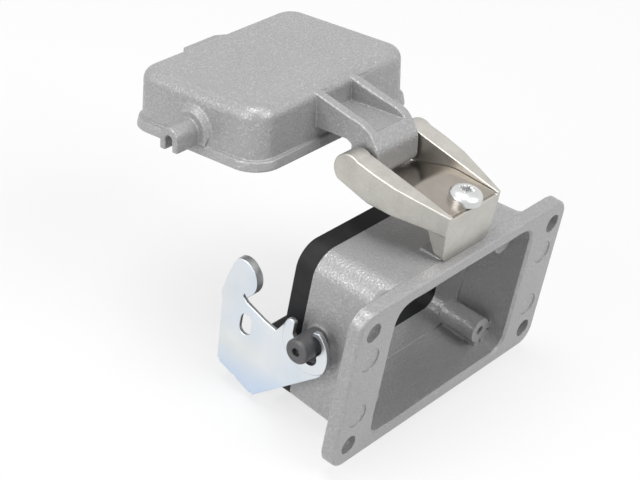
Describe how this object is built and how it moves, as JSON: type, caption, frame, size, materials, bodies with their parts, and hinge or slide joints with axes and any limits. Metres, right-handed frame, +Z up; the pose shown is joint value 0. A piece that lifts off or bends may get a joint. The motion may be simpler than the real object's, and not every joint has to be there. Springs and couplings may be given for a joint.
{
  "type": "heavy duty rectangular connector housing",
  "caption": "Bulkhead housing of a rectangular industrial connector, with a flange, a profile gasket, a hinged metal cover and a swing locking lever.",
  "frame": {"origin": "centre of the flange's mounting face, which is also the centre of its four holes", "axes": "+Y is the outward normal of the mounting face, towards the panel it is bolted to; the connector mates towards -Y; +Z is up, towards the cover's hinge; X runs along the flange"},
  "size_m": [0.08, 0.0878, 0.0697],
  "materials": {
    "cast_paint": "die-cast, light grey grainy powder coat",
    "gasket_rubber": "matt black moulded rubber",
    "peg_metal": "dark grey, dull",
    "zinc_sheet": "zinc plated sheet steel, blue passivated",
    "grip_plastic": "black moulded plastic",
    "nickel_casting": "plated casting, warm satin",
    "spring_steel": "polished strip",
    "zinc_screw": "bright zinc plating",
    "pin_steel": "ground steel"
  },
  "bodies": {
    "root": {"housing": "cast_paint", "mating_gasket": "gasket_rubber", "lever_peg_right": "peg_metal", "lever_peg_left": "peg_metal", "hinge_bracket": "nickel_casting", "leaf_spring": "spring_steel", "bracket_screw": "zinc_screw", "hinge_pin": "pin_steel"},
    "lever": {"locking_lever": "zinc_sheet", "lever_grip": "grip_plastic"},
    "cover": {"cover": "cast_paint"}
  },
  "joints": [
    {"name": "lever_swing", "type": "hinge", "parent": "root", "child": "lever", "pos_m": [0, -0.018, 0], "axis": [1, 0, 0], "range_deg": [0, 58]},
    {"name": "cover_swing", "type": "hinge", "parent": "root", "child": "cover", "pos_m": [0, -0.0292, 0.0342], "axis": [1, 0, 0], "range_deg": [0, 56]}
  ]
}
